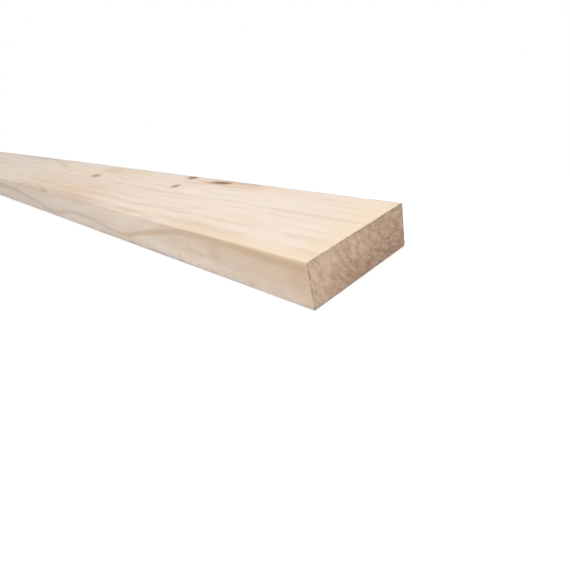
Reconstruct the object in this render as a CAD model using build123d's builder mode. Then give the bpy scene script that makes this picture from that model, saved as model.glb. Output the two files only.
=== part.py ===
from build123d import *
import os

# A plank of planed pine: one length of stock, eased along its four long edges and cut square.
# The origin is on the floor below the plank's middle. +X runs along the grain, +Y across the
# width and +Z up through the thickness.

# Driving dimensions, in millimetres
length = 1800.0
width = 114.0
thickness = 38.0
arris_radius = 1.0

# The plank lies on a wide face, so its section is centred half a thickness above the floor
with BuildPart() as plank:
    with BuildSketch(Plane.YZ.offset(-length / 2)) as section:
        with Locations((0, thickness / 2)):
            RectangleRounded(width, thickness, arris_radius)
    extrude(amount=length)

plank.part.label = "plank"
os.makedirs("parts", exist_ok=True)
export_step(plank.part, "parts/plank.step")
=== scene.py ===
"""The looks of a pine plank: a dense mesh with the plank's small relief, and solid wood in nodes.

Places on the plank are millimetres: along from the near end, across from the front edge, up from
the floor. The frame gives the plank's box, in metres, and all else is worked out from that.
"""

import math

import bpy
import numpy as np
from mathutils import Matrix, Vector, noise


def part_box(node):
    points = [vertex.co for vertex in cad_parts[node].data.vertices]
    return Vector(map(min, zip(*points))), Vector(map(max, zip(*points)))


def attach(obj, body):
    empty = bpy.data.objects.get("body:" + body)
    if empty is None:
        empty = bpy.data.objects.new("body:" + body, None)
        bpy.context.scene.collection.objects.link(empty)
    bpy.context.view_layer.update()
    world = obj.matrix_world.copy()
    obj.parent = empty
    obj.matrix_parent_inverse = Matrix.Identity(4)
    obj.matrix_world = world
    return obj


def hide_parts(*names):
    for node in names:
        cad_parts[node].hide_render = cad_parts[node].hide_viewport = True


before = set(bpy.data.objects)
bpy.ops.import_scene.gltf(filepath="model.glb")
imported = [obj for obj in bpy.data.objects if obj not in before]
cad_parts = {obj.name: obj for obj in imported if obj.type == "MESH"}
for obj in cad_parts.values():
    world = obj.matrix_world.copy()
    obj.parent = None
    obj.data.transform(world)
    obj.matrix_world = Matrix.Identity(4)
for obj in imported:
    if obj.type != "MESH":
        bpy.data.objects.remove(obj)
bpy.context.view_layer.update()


def linear(*srgb):
    """A colour written as on a screen, from 0 to 255, as the light that it stands for."""
    parts = [c / 255 for c in srgb]
    return tuple(c / 12.92 if c <= 0.04045 else ((c + 0.055) / 1.055) ** 2.4 for c in parts) + (1.0,)


MM = 0.001
NODE = "plank"
LOW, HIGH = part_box(NODE)
LENGTH, WIDTH, THICKNESS = ((high - low) / MM for low, high in zip(LOW, HIGH))
ARRIS_RADIUS = 1.0

# Camera, fitted to the plank's edges in the photograph, in pixels, millimetres, degrees and metres
IMAGE_WIDTH = 570
CAMERA_FOCAL = 457.07
CAMERA_BEYOND_END = 198.2
CAMERA_BEFORE_FRONT = 182.8
CAMERA_UP = 170.9
CAMERA_TURN = (61.075, 10.224, 45.189)
CAMERA_CLIP = (0.01, 100.0)
SENSOR = 36.0

# Floor and light, in metres and watts. Round the plank the floor takes light and shadow, and fades to white.
# There the lamps give it a brightness, less towards the far end, and it glows with what is short of white.
WHITE = (1.0, 1.0, 1.0, 1.0)
BLACK = (0.0, 0.0, 0.0, 1.0)
FLOOR_MARGIN = 1.2
FLOOR_FADE = (0.3, 0.02)
FLOOR_TONE = (0.8, 0.8, 0.8, 1.0)
SHOWN_TONE = (0.75, 0.75, 0.75, 1.0)
FLOOR_LIT = 0.612
FLOOR_LIT_LOSS = 0.17
AMBIENT = 0.5
# Each lamp: its place, the length of its side and its power
NEAR_LAMP = ((HIGH.x + 0.25, LOW.y - 0.43, 1.25), 1.1, 12.4)
FAR_LAMP = ((LOW.x - 0.35, HIGH.y + 0.4, 0.6), 0.8, 2.6)

# Mesh: cells along the width, the thickness and each rounded edge, and loops along the length
WIDTH_CELLS = 80
THICKNESS_CELLS = 24
ARC_CELLS = 3
LOOPS = 400
SHARP_ANGLE = 40
# How the loops crowd: how far it reaches, in millimetres or in a knot's half lengths, and how much
END_CROWD = (25, 4.0)
KNOT_CROWD = (2.5, 1.2)
STATION_STEPS = 4001
# Bake map: the share of its height that the ends take, and the margin round each part
END_SHARE = 0.13
GUTTER = 0.004

# Relief: depths in millimetres, lumps given by their sizes along, across and up and a seed, and ranges
# given by the values where something starts and where it is full
PLANED_DEPTH = 0.1
PLANED_LUMPS = ((120, 22, 22), 3.1)
GROOVE_DEPTH = 0.3
GROOVE_MIDDLE = 0.95
GROOVE_HALF = 0.2
DISH_DEPTH = 0.12
DISH_RANGE = (1.0, 0.6)
WEAR_REACH = 1.5
WEAR_DEPTH = 0.15
WEAR_LUMPS = ((45, 30, 30), 5.3)
BRUISE_DEPTH = 0.8
BRUISE_LUMPS = ((16, 30, 30), 7.7)
BRUISE_RANGE = (0.35, 0.75)
SAWN_DEPTH = 0.2
SCORE_DEPTH = 0.05
SCORE_GAP = 3.1
SCORE_SLANT = 0.6
SCORE_WANDER = 2
SCORE_LUMPS = ((9, 9, 9), 1.3)
TUFT_DEPTH = 0.16
TUFT_LUMPS = ((4, 4, 4), 2.2)
FINE_TUFTS = 0.6
FINE_TUFT_LUMPS = ((1.8, 1.8, 1.8), 4.4)
RIM_DEPTH = 0.12
RIM_ROUGHNESS = 0.1
RIM_LUMPS = ((1.6, 1.6, 1.6), 8.3)
CHIP_DEPTH = 0.45
CHIP_LUMPS = ((3, 3, 3), 9.1)
CHIP_RANGE = (0.1, 0.6)

# Growth rings. They stand nearly upright, so the front edge shows one ring as a wavy band.
# The band's height is given along the length, and rounded off in small steps.
RING_LEAN = 0.24
BAND_HEIGHTS = [
    (0, 33), (40, 32.5), (90, 34.8), (130, 36), (165, 34), (231, 21.5), (268, 11), (303, 5.5), (346, 14.5),
    (385, 18), (425, 18), (455, 15.5), (508, 3.5), (561, 14), (640, 21.5), (760, 26), (880, 12), (1010, 20),
    (1140, 9), (1270, 24), (1400, 30), (1540, 17), (1680, 22), (1800, 14),
]
BAND_ROUNDING = 22.0
CURVE_STEPS = 129
# Each ring: its place behind the band's own, then the strength of its soft shade and of its sharp line
RINGS = [
    (-28, 0.8, 0.15), (-14, 0.6, 0.1), (0, 0.55, 1.0), (13.3, 0.8, 0.05), (29.5, 1.0, 0.05),
    (43.5, 0.6, 0.05), (55.5, 0.45, 0.05), (66.5, 1.0, 0.08), (81, 0.35, 0.05), (91.5, 0.35, 0.05),
    (102.5, 0.5, 0.05), (115, 0.9, 0.15), (128, 0.8, 0.15),
]
RING_GAP = 13.0
LINE_RANGE = (1.2, 0.2)
LINE_STRENGTH = 0.42
SHADE_RANGE = (4.8, 0.0)
SHADE_STRENGTH = 0.38
# Where along the plank the band's own brown turns to grey
GREYED_RANGE = (290, 400)

# Knots: middle, half sizes along, across and up, turn about the upright in degrees, darkness,
# and how far the dark heart lies towards the near end
KNOTS = [
    ((495.5, 71.3, 38), (12.5, 8, 9), 8, 0.37, 0.0),
    ((286, 79.5, 38), (6.4, 6.5, 8), 0, 0.45, 0.0),
    ((292, 109.2, 37), (9.5, 6.8, 8), 3, 0.62, 0.0),
    ((231.5, 104.6, 37), (20.5, 5.4, 6), -8, 0.66, 0.28),
]
BEND_RANGE = (3.2, 0.4)
BEND_STRENGTH = 0.7
KNOT_RAGGED = 0.2
KNOT_RANGE = (1.15, 0.8)
HEART_RANGE = (0.8, 0.4)

# Noise in the wood: the lumps' sizes along, across and up, a seed, and where need be detail and roughness
RING_DRIFT = ((110, 30, 30), 1.7)
RING_WAVER = ((55, 24, 24), 6.6)
PATCHY = ((45, 9, 40), 4.2)
FIBRE = ((30, 0.8, 2.0), 0.3, 3.0)
STREAK = ((65, 2.8, 8.0), 5.9)
BROAD = ((120, 9.0, 18.0), 2.9)
TINT = ((55, 13, 20), 9.4)
MOTTLE = ((11, 11, 5), 4.9, 3.0)
RAGGED = ((14, 3, 4), 8.8, 3.0)
SWELL = ((17, 40, 40), 3.3)
BLOTCH = ((8, 3.6, 8.5), 2.6, 4.0, 0.58)
END_SPECK = ((1.8, 2.0, 1.6), 6.1)
END_SCORE = ((6, 0.9, 40), 7.4)
BROKEN = ((9, 7, 4.5), 1.1, 3.0)
# How much the noise moves the rings, in millimetres, and varies their shades
DRIFT_SIZE = 0.8
WAVER_SIZE = 1.8
WAVER_RANGE = (3, 25)
PATCHY_MEAN = 0.65
PATCHY_SPREAD = 2.0

# Colours
EARLY_WOOD = linear(244, 227, 212)
LATE_WOOD = linear(216, 188, 156)
RING_SHADE = linear(206, 186, 164)
RING_LINE = linear(190, 144, 94)
GREYED_LINE = linear(182, 150, 120)
KNOT_HEART = linear(99, 65, 39)
KNOT_RIM = linear(174, 135, 99)
KNOT_HALO = linear(222, 190, 154)
TAN = linear(212, 178, 138)
AMBER = linear(222, 182, 126)
BROWN = linear(182, 130, 74)
YELLOW = linear(246, 219, 168)
CREAM = linear(246, 222, 190)
PALE = linear(250, 235, 222)
GREY = linear(214, 204, 198)
# The grey of the painted shade along the back edge
BACK_EDGE_PAINTED_SHADE = linear(176, 170, 168)
COOL = linear(228, 224, 224)
# The grey of dirt and painted shade, on the lower edges and at the ends' feet
DIRT_AND_SHADE = linear(149, 144, 148)
END_LIGHT = linear(230, 202, 174)
END_MIDDLE = linear(208, 177, 152)
END_DARK = linear(145, 115, 93)

# Tones laid over a colour: the values where each starts and where it is full, and its strength
TINT_TONE = (-0.1, 0.5, 0.35)
STREAK_TONE = (-0.1, 0.7, 0.35)
BROAD_TONE = (-0.1, 0.5, 0.25)
FIBRE_TONE = (0.0, 0.6, 0.14)
HALO_TONE = (1.9, 1.0, 0.35)
MOTTLE_RANGE = (-0.1, 0.6)
MOTTLE_STRENGTH = 0.18

# Stains, and painted shade along the back edge: colour, strength, middle, half sizes and turn about the
# upright in degrees
STAINS_AND_PAINTED_SHADE = [
    (TAN, 0.4, (690, 92, 38), (110, 7.5, 6), 12),
    (COOL, 0.3, (580, 106, 38), (70, 9, 6), 0),
    # Painted shade along the back edge
    (BACK_EDGE_PAINTED_SHADE, 0.42, (835, 107, 38), (170, 9, 6), 0),
    (COOL, 0.35, (335, 109, 38), (45, 7, 6), 0),
    (AMBER, 0.45, (482, 97, 38), (58, 15, 6), 2),
    (AMBER, 0.34, (412, 103, 38), (50, 6.5, 6), 0),
    (TAN, 0.45, (502, 93, 38), (18, 4, 4), 0),
    (YELLOW, 0.13, (520, 80, 38), (180, 24, 8), 0),
    (TAN, 0.25, (520, 10, 38), (230, 60, 8), 0),
    (AMBER, 0.12, (425, 30, 38), (75, 30, 6), 0),
    (AMBER, 0.1, (415, 14, 38), (110, 15, 6), 0),
    (AMBER, 0.38, (413, 6, 38), (50, 9, 4), 0),
    (TAN, 0.13, (470, 32, 38), (290, 60, 8), 0),
    (RING_SHADE, 0.5, (480, 2, 38), (260, 16, 3), 0),
    (RING_SHADE, 0.6, (610, 2, 38), (70, 8, 3), 0),
    (RING_SHADE, 0.35, (365, 2, 38), (55, 6, 4), 0),
    (RING_SHADE, 0.3, (222, 2, 38), (26, 6, 4), 0),
    (BROWN, 0.55, (525, 2.2, 38), (38, 3.8, 5), 7),
    (TAN, 0.35, (265, 6, 38), (32, 9, 3), 0),
    (TAN, 0.3, (455, 0, 38), (40, 6, 5), 0),
    (YELLOW, 0.3, (0, 85, 38), (50, 60, 10), 0),
    (YELLOW, 0.25, (0, 25, 38), (30, 60, 10), 0),
    (YELLOW, 0.2, (60, 0, 38), (150, 22, 5), 0),
    (TAN, 0.26, (140, 8, 38), (130, 16, 6), 0),
    (TAN, 0.22, (112, 11, 38), (45, 4, 4), 0),
    (TAN, 0.2, (12, 11, 38), (30, 8, 4), 0),
    (AMBER, 0.12, (115, 31, 38), (75, 8, 6), 0),
    (PALE, 0.25, (150, 72, 38), (130, 42, 6), 0),
    (PALE, 0.5, (242, 73, 38), (32, 9, 5), 0),
    (PALE, 0.3, (100, 101, 38), (26, 6, 5), 0),
    (PALE, 0.3, (299, 99, 38), (28, 9, 5), 0),
    (TAN, 0.16, (270, 94, 38), (46, 7, 6), 0),
    (AMBER, 0.39, (190, 98.5, 38), (56, 7, 6), -2),
    (BROWN, 0.4, (192, 108.2, 38), (60, 6.2, 6), 0),
    (BROWN, 0.35, (259, 102.5, 38), (15, 3.5, 5), 0),
    # Painted shade on the back edge by the long knot
    (BACK_EDGE_PAINTED_SHADE, 0.6, (212, 114, 36), (100, 6, 12), 0),
    (TAN, 0.5, (0, 0, 38), (240, 2, 44), 0),
    (RING_SHADE, 0.2, (6, 0, 6), (60, 2, 20), 0),
    (TAN, 0.25, (0, 0, 6), (28, 2, 8), 0),
    (RING_SHADE, 0.3, (90, 0, 16), (60, 2, 9), 0),
    (TAN, 0.36, (109, 0, 23), (12, 2, 15), 0),
    (BROWN, 0.4, (272, 0, 10.3), (6, 2, 2), 0),
    (TAN, 0.24, (165, 0, 17), (48, 2, 14), 0),
    (TAN, 0.4, (8, 0, 25), (26, 2, 17), 0),
    (COOL, 0.25, (560, 0, 0), (420, 2, 34), 0),
    (COOL, 0.35, (482, 0, 36), (55, 2, 3.5), 0),
    (PALE, 0.2, (460, 0, 24), (90, 2, 16), 0),
    (COOL, 0.16, (75, 0, 3), (65, 2, 14), 0),
]
STAIN_AND_SHADE_RAGGED = 0.22
STAIN_AND_SHADE_RANGE = (1.0, 0.2)

# Layers of dirt and painted shade on the lower edges: strength, raggedness, and the heights where each ends
# and is full
LOW_DIRT_AND_SHADE_LAYERS = [(0.16, 1.0, 2.6, 0.2), (0.3, 2.0, 8.5, 0.5)]
SWELL_SIZE = 7.0
# How dark the dirt and painted shade on the lower edges are: places along the length and strengths
LOW_DIRT_AND_SHADE_ALONG = [
    (0, 0.85), (22, 0.85), (45, 0.35), (75, 0.5), (110, 0.75), (150, 1.15), (200, 1.15), (330, 1.05),
    (400, 0.95), (430, 0.5), (480, 0.45), (530, 0.6), (660, 0.65), (900, 1.0), (1800, 1.0),
]
# How much of the dirt and painted shade the underside is without
UNDER_SPARED = 0.85
# Dirty specks low on the front edge: along and up
SPECKS = [
    (7, 1.6), (171, 7), (155, 1.5), (140, 4.5), (101, 2.4), (66, 4.4), (48, 1.2), (222, 3), (231, 4),
    (356, 1.7), (372, 2.5), (386, 3), (402, 3.4), (415, 3), (447, 1.6), (528, 5), (548, 5), (558, 8),
    (585, 4.5), (598, 5), (628, 6), (665, 6),
]
SPECK_HALF = (4.5, 2.0, 2.2)
SPECK_RAGGED = 0.5
SPECK_RANGE = (1.2, 0.2)
SPECK_STRENGTH = 0.35

# Sawn ends: the middle of the tree, across and up, and the radius at which arcs round it are measured
PITH = (116.0, 85.0)
PITH_RADIUS = 95.0
# An end's darkness: all over, and from its blotches, specks, scores and shading towards the back and the foot
END_MEAN = 0.09
END_BLOTCHES = 0.9
END_SPECKS = 0.32
SHADED_SPECKS = 0.25
END_SCORES = 0.12
END_SHADING = 0.62
BACK_SHADE = 0.4
BACK_RANGE = (20, 46)
BACKMOST_SHADE = 0.22
BACKMOST_RANGE = (72, 94)
FOOT_SHADE = 0.5
FOOT_SHADE_LOSS = 0.2
FOOT_RISE = (25, 6)
FOOT_RANGE = (0, 45)
MIDDLE_TONE = (-0.25, 0.4, 1.0)
DARK_TONE = (0.2, 1.0, 0.68)
# A pale mark of the saw in the upper part of the near end
MARK_ACROSS = 49.5
MARK_RAGGED = 0.4
MARK_RANGE = (3.4, 2.2)
MARK_RISE = (14, 24)
MARK_STRENGTH = 0.25
# Broken dark lines of painted shade near an end's front, in its torn grain, and along its top
BROKEN_RANGE = (-0.2, 0.3)
TORN_SHADE_ACROSS = 1.2
TORN_SHADE_RAGGED = 0.8
TORN_SHADE_RANGE = (1.3, 0.2)
TORN_SHADE_STRENGTH = 0.75
TOP_SHADE_RAGGED = 0.6
TOP_SHADE_RANGE = (THICKNESS - 1.8, THICKNESS - 0.4)
TOP_SHADE_STRENGTH = 0.35
# Dirt and painted shade at an end's foot, thickest in front
FOOT_RAGGED = 0.8
FOOT_FRONT_RISE = 1.8
FOOT_FRONT = (18, 3)
FOOT_TONE = (2.0, 0.3, 0.4)

# Surface: which way a face looks, the bump's relief in millimetres, and the roughness
FACING = (0.55, 0.8)
FACING_DOWN = (-0.5, -0.9)
FIBRE_RELIEF = 0.02
BLOTCH_RELIEF = 0.15
SPECK_RELIEF = 0.12
PLANED_ROUGHNESS = 0.65
SAWN_ROUGHNESS = 0.2
FIBRE_ROUGHNESS = 0.05


def lumps(points, sizes, seed):
    """Smooth noise from about -1 to 1 at each point, with its lumps about sizes long."""
    return np.array([noise.noise(place) for place in points / np.array(sizes) + seed])


def smooth_step(value, low, high):
    """0 up to low, 1 from high on, and smooth between."""
    share = np.clip((value - low) / (high - low), 0, 1)
    return share * share * (3 - 2 * share)


def section():
    """The section's outline, from the back edge's foot round by the front: across, up and outward normal."""
    radius = ARRIS_RADIUS
    flat = np.linspace(0, 1, WIDTH_CELLS + 1)
    rise = np.linspace(0, 1, THICKNESS_CELLS + 1)
    arc = np.linspace(0, math.pi / 2, ARC_CELLS + 1)[1:-1]
    sine, cosine = np.sin(arc), np.cos(arc)
    back, top = WIDTH - radius, THICKNESS - radius
    inner_width, inner_height = back - radius, top - radius
    runs = [
        (back - inner_width * flat, 0 * flat, 0 * flat, 0 * flat - 1),
        (radius - radius * sine, radius - radius * cosine, -sine, -cosine),
        (0 * rise, radius + inner_height * rise, 0 * rise - 1, 0 * rise),
        (radius - radius * cosine, top + radius * sine, -cosine, sine),
        (radius + inner_width * flat, 0 * flat + THICKNESS, 0 * flat, 0 * flat + 1),
        (back + radius * sine, top + radius * cosine, sine, cosine),
        (0 * rise + WIDTH, top - inner_height * rise, 0 * rise + 1, 0 * rise),
        (back + radius * cosine, radius - radius * sine, cosine, -sine),
    ]
    return [np.concatenate(parts) for parts in zip(*runs)]


def stations():
    """Where the loops stand along the plank: they crowd towards its ends and its knots."""
    fine = np.linspace(0, LENGTH, STATION_STEPS)
    crowding = np.ones_like(fine)
    knot_reach, knot_gain = KNOT_CROWD
    crowds = [(0, *END_CROWD), (LENGTH, *END_CROWD)]
    crowds += [(middle[0], knot_reach * half[0], knot_gain) for middle, half, *_ in KNOTS]
    for centre, reach, gain in crowds:
        crowding += gain * np.exp(-((fine - centre) / reach) ** 2)
    share = np.concatenate([[0], np.cumsum((crowding[1:] + crowding[:-1]) / 2)])
    return np.interp(np.linspace(0, share[-1], LOOPS), share, fine)


def knot_distance(points, knot):
    """Distance from a knot's middle, 1 at its rim."""
    middle, half, turn, *_ = knot
    angle = math.radians(turn)
    offset = points - np.array(middle)
    level = offset[:, 0] * math.cos(angle) + offset[:, 1] * math.sin(angle)
    cross = -offset[:, 0] * math.sin(angle) + offset[:, 1] * math.cos(angle)
    return np.sqrt((level / half[0]) ** 2 + (cross / half[1]) ** 2 + (offset[:, 2] / half[2]) ** 2)


def surface_cut(points, corner):
    """How far the long faces lie below their true planes. corner is 1 on the rounded edges."""
    cut = PLANED_DEPTH + PLANED_DEPTH * lumps(points, *PLANED_LUMPS)
    for knot in KNOTS:
        distance = knot_distance(points, knot)
        groove = np.exp(-(((distance - GROOVE_MIDDLE) / GROOVE_HALF) ** 2))
        cut += GROOVE_DEPTH * groove + DISH_DEPTH * smooth_step(distance, *DISH_RANGE)
    bruises = smooth_step(lumps(points, *BRUISE_LUMPS), *BRUISE_RANGE)
    wear = WEAR_DEPTH + WEAR_DEPTH * lumps(points, *WEAR_LUMPS)
    return np.clip(cut + corner * (wear + BRUISE_DEPTH * bruises), 0, None)


def end_cut(points):
    """How far a sawn end lies below its true plane: saw scores and torn fibres."""
    turns = (points[:, 1] + SCORE_SLANT * points[:, 2]) / SCORE_GAP
    scores = np.sin(2 * math.pi * turns + SCORE_WANDER * lumps(points, *SCORE_LUMPS))
    tufts = lumps(points, *TUFT_LUMPS) + FINE_TUFTS * lumps(points, *FINE_TUFT_LUMPS)
    return np.clip(SAWN_DEPTH + SCORE_DEPTH * scores + TUFT_DEPTH * tufts, 0, None)


def rim_cut(points):
    """How far the rim of a sawn end is broken back along the plank."""
    chips = smooth_step(lumps(points, *CHIP_LUMPS), *CHIP_RANGE)
    return RIM_DEPTH + RIM_ROUGHNESS * lumps(points, *RIM_LUMPS) + CHIP_DEPTH * chips


def in_metres(points):
    """Places on the plank as places in the frame."""
    along, across, up = points.T * MM
    return np.stack([HIGH.x - along, LOW.y + across, LOW.z + up], axis=1)


def skin_points(outline, places):
    """The vertices of the loops round the section, with the relief of the long faces and the rims."""
    across, up, out_across, out_up = outline
    around = len(across)
    corner = np.minimum(np.abs(out_across), np.abs(out_up)) > 0
    gaps = np.hypot(across[:, None] - across[corner], up[:, None] - up[corner]).min(axis=1)
    soft_corner = np.exp(-(gaps / WEAR_REACH) ** 2)
    points = np.stack([np.repeat(places, around), np.tile(across, LOOPS), np.tile(up, LOOPS)], axis=1)
    cut = surface_cut(points, np.tile(soft_corner, LOOPS))
    points[:, 1] -= cut * np.tile(out_across, LOOPS)
    points[:, 2] -= cut * np.tile(out_up, LOOPS)
    points[:around, 0] += rim_cut(points[:around])
    points[-around:, 0] -= rim_cut(points[-around:])
    return points


def end_points():
    """The vertices of a grid on each end, row by row, with the relief of the sawn wood."""
    flat = np.linspace(ARRIS_RADIUS, WIDTH - ARRIS_RADIUS, WIDTH_CELLS + 1)
    rise = np.linspace(ARRIS_RADIUS, THICKNESS - ARRIS_RADIUS, THICKNESS_CELLS + 1)
    across, up = (part.ravel() for part in np.meshgrid(flat, rise))
    ends = []
    for place, inward in ((0.0, 1), (LENGTH, -1)):
        points = np.stack([np.full(across.size, place), across, up], axis=1)
        points[:, 0] += inward * end_cut(points)
        ends.append(points)
    return ends


def skin_faces(outline, places):
    """The faces between the loops and their places in the bake map, a strip for each half of the length."""
    across, up, *_ = outline
    around = len(across)
    runs = np.hypot(np.diff(across, append=across[0]), np.diff(up, append=up[0]))
    turn = np.concatenate([[0], np.cumsum(runs)])
    half = LENGTH / 2
    strip = (1 - END_SHARE) / 2
    faces, map_places = [], []
    for i in range(LOOPS - 1):
        far_half = (places[i] + places[i + 1]) / 2 > half
        start = half if far_half else 0.0
        u = np.clip((places[i:i + 2] - start) / half, 0.0, 1.0)
        v = END_SHARE + strip * (far_half + GUTTER + (1 - 2 * GUTTER) * turn / turn[-1])
        this, following = i * around, (i + 1) * around
        for k in range(around):
            n = (k + 1) % around
            faces.append((this + k, this + n, following + n, following + k))
            map_places += [(u[0], v[k]), (u[0], v[k + 1]), (u[1], v[k + 1]), (u[1], v[k])]
    return faces, map_places


def end_faces(end, around):
    """The faces of an end: its grid, the cells between grid and rim, and fans at the rounded edges."""
    columns, rows = WIDTH_CELLS + 1, THICKNESS_CELLS + 1
    front = WIDTH_CELLS + ARC_CELLS
    top = front + THICKNESS_CELLS + ARC_CELLS
    back = top + WIDTH_CELLS + ARC_CELLS
    rim = end * (LOOPS - 1) * around
    base = LOOPS * around + end * columns * rows

    def vertex(column, row):
        """A vertex of the grid, or of the rim where the place is just outside the grid."""
        if row < 0:
            return rim + WIDTH_CELLS - column
        if row == rows:
            return rim + top + column
        if column < 0:
            return rim + front + row
        if column == columns:
            return rim + back + THICKNESS_CELLS - row
        return base + row * columns + column

    faces = []
    for row in range(-1, rows):
        for column in range(-1, columns):
            if row in (-1, rows - 1) and column in (-1, columns - 1):
                continue
            corners = [(column, row), (column + 1, row), (column + 1, row + 1), (column, row + 1)]
            faces.append([vertex(*corner) for corner in corners])
    fans = [
        (WIDTH_CELLS, (0, 0)), (front + THICKNESS_CELLS, (0, rows - 1)),
        (top + WIDTH_CELLS, (columns - 1, rows - 1)), (back + THICKNESS_CELLS, (columns - 1, 0)),
    ]
    for first, inner in fans:
        for k in range(first, first + ARC_CELLS):
            faces.append([rim + (k + 1) % around, rim + k % around, vertex(*inner)])
    return [tuple(face if end == 0 else face[::-1]) for face in faces]


def plank_mesh():
    """The plank as loops round its section and a grid on each end, with its relief and a bake map."""
    outline = section()
    places = stations()
    vertices = in_metres(np.concatenate([skin_points(outline, places)] + end_points()))
    faces, map_places = skin_faces(outline, places)
    for end in range(2):
        for face in end_faces(end, len(outline[0])):
            faces.append(face)
            for _, y, z in vertices[list(face)]:
                u = (y - LOW.y) / (HIGH.y - LOW.y) * (0.5 - 2 * GUTTER) + GUTTER + 0.5 * end
                v = (z - LOW.z) / (HIGH.z - LOW.z) * END_SHARE * (1 - 2 * GUTTER)
                map_places.append((u, v))

    mesh = bpy.data.meshes.new("pine_plank")
    mesh.from_pydata(vertices.tolist(), [], faces)
    mesh.uv_layers.new(name="OFBake").data.foreach_set("uv", np.array(map_places, np.float32).ravel())
    mesh.polygons.foreach_set("use_smooth", [True] * len(faces))
    mesh.set_sharp_from_angle(angle=math.radians(SHARP_ANGLE))
    mesh.validate()
    return mesh


class Field:
    """A number that varies over the wood. It wraps a node's output, so that sums in nodes read as sums."""

    def __init__(self, graph, socket):
        self.graph = graph
        self.socket = socket

    def __add__(self, other):
        return self.graph.calc("ADD", self, other)

    def __sub__(self, other):
        return self.graph.calc("SUBTRACT", self, other)

    def __rsub__(self, other):
        return self.graph.calc("SUBTRACT", other, self)

    def __mul__(self, other):
        return self.graph.calc("MULTIPLY", self, other)

    def __truediv__(self, other):
        return self.graph.calc("DIVIDE", self, other)

    def __abs__(self):
        return self.graph.calc("ABSOLUTE", self)

    __radd__ = __add__
    __rmul__ = __mul__


class Graph:
    """The nodes of one material. Its methods take numbers or fields, and give back fields."""

    def __init__(self, tree):
        self.tree = tree
        tree.nodes.clear()

    def node(self, kind, inputs=None, **settings):
        made = self.tree.nodes.new(kind)
        for name, value in settings.items():
            setattr(made, name, value)
        for key, value in (inputs or {}).items():
            if isinstance(value, Field):
                self.tree.links.new(value.socket, made.inputs[key])
            else:
                made.inputs[key].default_value = value
        return made

    def field(self, made, output=0):
        return Field(self, made.outputs[output])

    def calc(self, operation, *terms):
        return self.field(self.node("ShaderNodeMath", dict(enumerate(terms)), operation=operation))

    def parts(self, kind, output):
        """The three parts of a vector that a node of some kind gives."""
        vector = self.field(self.node(kind), output)
        made = self.node("ShaderNodeSeparateXYZ", {0: vector})
        return [self.field(made, k) for k in range(3)]

    def step(self, value, low, high):
        """0 up to low, 1 from high on, and smooth between."""
        inputs = {"Value": value, "From Min": low, "From Max": high}
        return self.field(self.node("ShaderNodeMapRange", inputs, interpolation_type="SMOOTHSTEP"))

    def noise(self, place, sizes, seed, detail=2.0, roughness=0.5):
        """Smooth noise from about -1 to 1, with its lumps about sizes long in each direction."""
        parts = [value / size + seed for value, size in zip(place, sizes)]
        vector = self.field(self.node("ShaderNodeCombineXYZ", dict(enumerate(parts))))
        inputs = {"Vector": vector, "Scale": 1.0, "Detail": detail, "Roughness": roughness}
        return self.field(self.node("ShaderNodeTexNoise", inputs)) * 2.0 - 1.0

    def curve(self, value, points, rounding=0.0):
        """A line through points, given as places and heights, with its corners rounded over a length."""
        places, heights = np.array(points, float).T
        if rounding:
            fine = np.linspace(places[0], places[-1], CURVE_STEPS)
            weights = np.exp(-(((fine[:, None] - fine) / rounding) ** 2))
            heights = weights @ np.interp(fine, places, heights) / weights.sum(1)
            places = fine
        low, span = heights.min(), np.ptp(heights)
        shares = (places - places[0]) / np.ptp(places)
        rises = (heights - low) / span
        made = self.node("ShaderNodeFloatCurve", {"Value": (value - places[0]) / np.ptp(places)})
        line = made.mapping.curves[0]
        for share, rise in list(zip(shares, rises))[1:-1]:
            line.points.new(share, rise)
        line.points[0].location = (0.0, rises[0])
        line.points[len(line.points) - 1].location = (1.0, rises[-1])
        for point in line.points:
            point.handle_type = "VECTOR"
        made.mapping.update()
        return self.field(made) * float(span) + float(low)

    def steps(self, number, values):
        """The value that goes with each whole number from 0 on."""
        made = self.node("ShaderNodeValToRGB", {"Fac": (number + 0.5) / len(values)})
        ramp = made.color_ramp
        ramp.interpolation = "CONSTANT"
        ramp.elements.remove(ramp.elements[1])
        ramp.elements[0].color = (values[0],) * 3 + (1.0,)
        for k in range(1, len(values)):
            ramp.elements.new(k / len(values)).color = (values[k],) * 3 + (1.0,)
        return self.field(made)

    def mix(self, share, first, second):
        """The first colour where share is 0, and the second where it is 1."""
        made = self.node("ShaderNodeMix", {0: share, 6: first, 7: second}, data_type="RGBA")
        return self.field(made, 2)

    def lay(self, colour, tone, value, low, high, strength):
        """A tone laid over a colour: none of it where value is at low, and its strength from high on."""
        return self.mix(self.step(value, low, high) * strength, colour, tone)


def spot_distance(graph, place, middle, half, turn=0.0):
    """Distance from the middle of an ellipsoid in nodes, 1 at its rim."""
    angle = math.radians(turn)
    along, across, up = [value - float(centre) for value, centre in zip(place, middle)]
    level = (along * math.cos(angle) + across * math.sin(angle)) / half[0]
    cross = (across * math.cos(angle) - along * math.sin(angle)) / half[1]
    rise = up / half[2]
    return graph.calc("SQRT", level * level + cross * cross + rise * rise)


def ring_depth(graph, place):
    """How far behind the band's own ring a place lies, with the grain bent round each knot.

    Each knot comes with it: the distance from its middle, the same for its heart, and its darkness.
    """
    along, across, up = place
    depth = across + RING_LEAN * (up - graph.curve(along, BAND_HEIGHTS, BAND_ROUNDING))
    depth = depth + DRIFT_SIZE * graph.noise(place, *RING_DRIFT)
    depth = depth + WAVER_SIZE * graph.noise(place, *RING_WAVER) * graph.step(across, *WAVER_RANGE)
    knots = []
    for middle, half, turn, darkness, shift in KNOTS:
        distance = spot_distance(graph, place, middle, half, turn)
        heart = distance + (along - float(middle[0])) * (shift / half[0])
        knots.append((distance, heart, darkness))
        depth = depth - graph.step(distance, *BEND_RANGE) * (across - float(middle[1])) * BEND_STRENGTH
    return depth, knots


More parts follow.
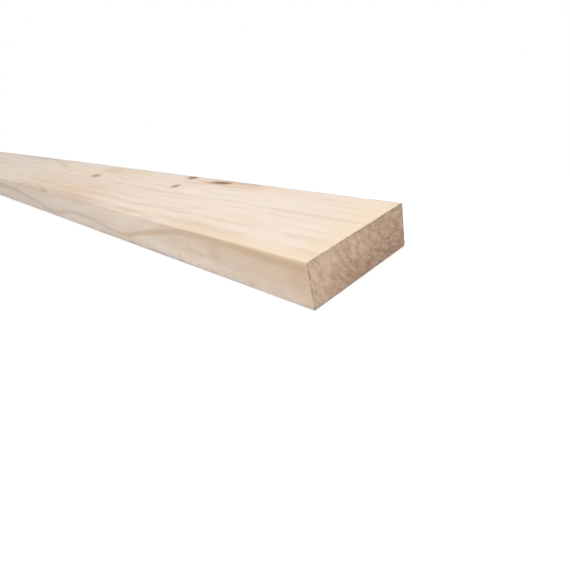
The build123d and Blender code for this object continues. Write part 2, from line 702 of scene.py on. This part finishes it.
def clean_wood(graph, grain, fibre):
    """The colour of clean planed wood: early wood with the rings' shades and lines, streaks and fibres."""
    along, depth, _ = grain
    number = graph.curve(depth, [(ring[0], k) for k, ring in enumerate(RINGS)])
    nearest = graph.calc("ROUND", number)
    gap = abs(number - nearest) * RING_GAP
    patchy = PATCHY_MEAN + PATCHY_SPREAD * graph.noise(grain, *PATCHY)
    shade = graph.step(gap, *SHADE_RANGE) * graph.steps(nearest, [ring[1] for ring in RINGS]) * patchy
    line = graph.step(gap, *LINE_RANGE) * graph.steps(nearest, [ring[2] for ring in RINGS])
    line_colour = graph.mix(graph.step(along, *GREYED_RANGE), RING_LINE, GREYED_LINE)

    colour = graph.lay(EARLY_WOOD, CREAM, graph.noise(grain, *TINT), *TINT_TONE)
    colour = graph.mix(shade * SHADE_STRENGTH, colour, RING_SHADE)
    colour = graph.mix(line * LINE_STRENGTH, colour, line_colour)
    colour = graph.lay(colour, LATE_WOOD, graph.noise(grain, *STREAK), *STREAK_TONE)
    colour = graph.lay(colour, LATE_WOOD, graph.noise(grain, *BROAD), *BROAD_TONE)
    return graph.lay(colour, LATE_WOOD, fibre, *FIBRE_TONE)


def stained_and_shaded(graph, colour, place, ragged):
    """A colour with the stains and the painted shade along the back edge laid over it in turn."""
    for tone, strength, middle, half, turn in STAINS_AND_PAINTED_SHADE:
        distance = spot_distance(graph, place, middle, half, turn) + STAIN_AND_SHADE_RAGGED * ragged
        colour = graph.lay(colour, tone, distance, *STAIN_AND_SHADE_RANGE, strength)
    return colour


def knotted(graph, colour, knots, ragged):
    """A colour with the knots laid over it, each as a halo, the knot itself and its dark heart."""
    for distance, heart, darkness in knots:
        rough = distance + KNOT_RAGGED * ragged
        colour = graph.lay(colour, KNOT_HALO, rough, *HALO_TONE)
        colour = graph.lay(colour, KNOT_RIM, rough, *KNOT_RANGE, darkness)
        colour = graph.lay(colour, KNOT_HEART, heart + KNOT_RAGGED * ragged, *HEART_RANGE, darkness)
    return colour


def dirt_and_shade_share(graph, place, ragged):
    """How much dirt and painted shade lie along the lower edges, thicker in places, and dirt in specks on the
    front edge.
    """
    along, _, up = place
    swell = SWELL_SIZE * graph.noise(place, *SWELL)
    low = 0.0
    for strength, raggedness, end, full in LOW_DIRT_AND_SHADE_LAYERS:
        low = low + strength * graph.step(up + raggedness * ragged - swell, end, full)
    gaps = [spot_distance(graph, place, (where, 0, height), SPECK_HALF) for where, height in SPECKS]
    nearest = gaps[0]
    for gap in gaps[1:]:
        nearest = graph.calc("MINIMUM", nearest, gap)
    specks = graph.step(nearest + SPECK_RAGGED * ragged, *SPECK_RANGE) * SPECK_STRENGTH
    return graph.calc("MAXIMUM", low * graph.curve(along, LOW_DIRT_AND_SHADE_ALONG), specks)


def sawn_end(graph, place, ragged):
    """The sawn ends' colour and relief: streaks along the rings' arcs, specks, scores, painted rim shade,
    dirt and painted shade at the foot.
    """
    along, across, up = place
    from_across, from_up = across - PITH[0], up - PITH[1]
    radius = graph.calc("SQRT", from_across * from_across + from_up * from_up)
    arc = graph.calc("ARCTAN2", from_across, from_up) * PITH_RADIUS
    blotch = graph.noise((along, radius, arc), *BLOTCH)
    speck = graph.noise(place, *END_SPECK)

    mark = graph.step(abs(across - MARK_ACROSS + MARK_RAGGED * ragged), *MARK_RANGE)
    mark = mark * graph.step(up, *MARK_RISE) * graph.step(along, LENGTH, 0)
    score = END_SCORES * graph.noise(place, *END_SCORE) - MARK_STRENGTH * mark
    backmost = graph.step(across, *BACKMOST_RANGE)
    backward = BACK_SHADE * graph.step(across, *BACK_RANGE) + BACKMOST_SHADE * backmost
    downward = graph.step(up, *FOOT_RISE) * graph.step(across, *FOOT_RANGE)
    shading = backward + (FOOT_SHADE - FOOT_SHADE_LOSS * backmost) * downward
    darkness = END_MEAN + END_SHADING * shading + END_BLOTCHES * blotch + score
    darkness = darkness + (END_SPECKS + SHADED_SPECKS * shading) * speck
    colour = graph.lay(END_LIGHT, END_MIDDLE, darkness, *MIDDLE_TONE)
    colour = graph.lay(colour, END_DARK, darkness, *DARK_TONE)

    # Painted shade: broken dark lines in the torn grain near the front, and along the top rim
    broken = graph.step(graph.noise(place, *BROKEN), *BROKEN_RANGE)
    torn_shade = graph.step(abs(across - TORN_SHADE_ACROSS - TORN_SHADE_RAGGED * ragged), *TORN_SHADE_RANGE) * TORN_SHADE_STRENGTH
    top = graph.step(up + TOP_SHADE_RAGGED * ragged, *TOP_SHADE_RANGE) * TOP_SHADE_STRENGTH
    colour = graph.mix(graph.calc("MAXIMUM", torn_shade, top) * broken, colour, END_DARK)
    # Dirt and painted shade along the foot, thickest in front
    foot = up + FOOT_RAGGED * ragged - FOOT_FRONT_RISE * graph.step(across, *FOOT_FRONT)
    colour = graph.lay(colour, DIRT_AND_SHADE, foot, *FOOT_TONE)
    return colour, BLOTCH_RELIEF * blotch + SPECK_RELIEF * speck


def pine():
    """Solid pine: rings, fibres, knots, stains, dirt and painted shade worked out from the place in the wood.
    """
    material = bpy.data.materials.new("pine")
    material.use_nodes = True
    graph = Graph(material.node_tree)
    x, y, z = graph.parts("ShaderNodeTexCoord", "Object")
    along, across, up = (HIGH.x - x) / MM, (y - LOW.y) / MM, (z - LOW.z) / MM
    place = (along, across, up)
    facing = graph.parts("ShaderNodeNewGeometry", "Normal")
    sawn = graph.step(abs(facing[0]), *FACING)
    upright = graph.step(abs(facing[1]), *FACING)
    under = graph.step(facing[2], *FACING_DOWN)

    depth, knots = ring_depth(graph, place)
    grain = (along, depth, up)
    fibre = graph.noise(grain, *FIBRE)
    ragged = graph.noise(grain, *RAGGED)
    mottle = graph.noise(place, *MOTTLE)
    colour = clean_wood(graph, grain, fibre)
    colour = graph.lay(colour, GREY, mottle, *MOTTLE_RANGE, MOTTLE_STRENGTH * upright)
    # Stains, and the painted shade along the back edge
    colour = stained_and_shaded(graph, colour, place, ragged)
    colour = knotted(graph, colour, knots, ragged)
    # Dirt and painted shade along the lower edges, less of them underneath, and dirt in specks on the front
    # edge
    dirt_and_shade = dirt_and_shade_share(graph, place, ragged) * (1.0 - UNDER_SPARED * under)
    colour = graph.mix(dirt_and_shade, colour, DIRT_AND_SHADE)
    end_colour, end_relief = sawn_end(graph, place, ragged)
    colour = graph.mix(sawn, colour, end_colour)

    relief = FIBRE_RELIEF * fibre + sawn * end_relief
    bump = graph.node("ShaderNodeBump", {"Height": relief, "Distance": MM, "Strength": 1.0})
    roughness = PLANED_ROUGHNESS + SAWN_ROUGHNESS * sawn + FIBRE_ROUGHNESS * fibre
    inputs = {"Base Color": colour, "Roughness": roughness, "Normal": graph.field(bump)}
    shader = graph.node("ShaderNodeBsdfPrincipled", inputs)
    output = graph.node("ShaderNodeOutputMaterial")
    graph.tree.links.new(shader.outputs[0], output.inputs[0])
    return material


def background_rays(graph):
    """1 for rays that should meet a white background: the camera's, and those mirrored or let through."""
    rays = graph.node("ShaderNodeLightPath")
    kinds = [graph.field(rays, kind) for kind in ("Is Camera Ray", "Is Glossy Ray", "Is Transmission Ray")]
    return graph.calc("MAXIMUM", graph.calc("MAXIMUM", kinds[0], kinds[1]), kinds[2])


def pale_floor():
    """The floor's material: white with the plank's soft shadow to the camera, and pale to other light."""
    material = bpy.data.materials.new("pale_floor")
    material.use_nodes = True
    graph = Graph(material.node_tree)
    x, y, _ = graph.parts("ShaderNodeTexCoord", "Object")
    beyond = graph.calc("MAXIMUM", abs(x) - HIGH.x, abs(y) - HIGH.y)
    near = graph.step(beyond, *FLOOR_FADE)
    lit = FLOOR_LIT - FLOOR_LIT_LOSS * graph.step(x, HIGH.x, LOW.x)
    matte = graph.node("ShaderNodeBsdfDiffuse", {"Color": FLOOR_TONE})
    glow = graph.node("ShaderNodeEmission", {"Color": WHITE, "Strength": 1.0 - near * lit})
    shaded = graph.node("ShaderNodeBsdfDiffuse", {"Color": graph.mix(near, BLACK, SHOWN_TONE)})
    shown = graph.node("ShaderNodeAddShader", {0: graph.field(shaded), 1: graph.field(glow)})
    inputs = {0: background_rays(graph), 1: graph.field(matte), 2: graph.field(shown)}
    both = graph.node("ShaderNodeMixShader", inputs)
    output = graph.node("ShaderNodeOutputMaterial")
    graph.tree.links.new(both.outputs[0], output.inputs[0])
    return material


def floor():
    """A wide flat floor under the plank."""
    mesh = bpy.data.meshes.new("floor")
    edge_x, edge_y = HIGH.x + FLOOR_MARGIN, HIGH.y + FLOOR_MARGIN
    corners = [(-edge_x, -edge_y, 0), (edge_x, -edge_y, 0), (edge_x, edge_y, 0), (-edge_x, edge_y, 0)]
    mesh.from_pydata(corners, [], [(0, 1, 2, 3)])
    mesh.materials.append(pale_floor())
    piece = bpy.data.objects.new("floor", mesh)
    bpy.context.scene.collection.objects.link(piece)


def studio():
    """Even light from all round, a large soft lamp over the near end and a weaker one over the far end."""
    world = bpy.data.worlds.new("studio")
    world.use_nodes = True
    bpy.context.scene.world = world
    graph = Graph(world.node_tree)
    strength = AMBIENT + (1 - AMBIENT) * background_rays(graph)
    sky = graph.node("ShaderNodeBackground", {"Color": WHITE, "Strength": strength})
    output = graph.node("ShaderNodeOutputWorld")
    graph.tree.links.new(sky.outputs[0], output.inputs[0])

    for place, size, power in (NEAR_LAMP, FAR_LAMP):
        lamp = bpy.data.lights.new("softbox", "AREA")
        lamp.size = size
        lamp.energy = power
        holder = bpy.data.objects.new("softbox", lamp)
        holder.location = place
        bpy.context.scene.collection.objects.link(holder)


def camera():
    """The camera, at the photograph's place and angle."""
    data = bpy.data.cameras.new("camera")
    data.sensor_width = SENSOR
    data.lens = SENSOR * CAMERA_FOCAL / IMAGE_WIDTH
    data.clip_start, data.clip_end = CAMERA_CLIP
    holder = bpy.data.objects.new("camera", data)
    holder.location = (
        HIGH.x + CAMERA_BEYOND_END * MM, LOW.y - CAMERA_BEFORE_FRONT * MM, LOW.z + CAMERA_UP * MM
    )
    holder.rotation_euler = [math.radians(angle) for angle in CAMERA_TURN]
    bpy.context.scene.collection.objects.link(holder)
    bpy.context.scene.camera = holder


mesh = plank_mesh()
mesh.materials.append(pine())
plank = bpy.data.objects.new("pine_plank", mesh)
bpy.context.scene.collection.objects.link(plank)
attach(plank, "root")
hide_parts(NODE)

floor()
studio()
camera()
bpy.context.scene.view_settings.view_transform = "Standard"
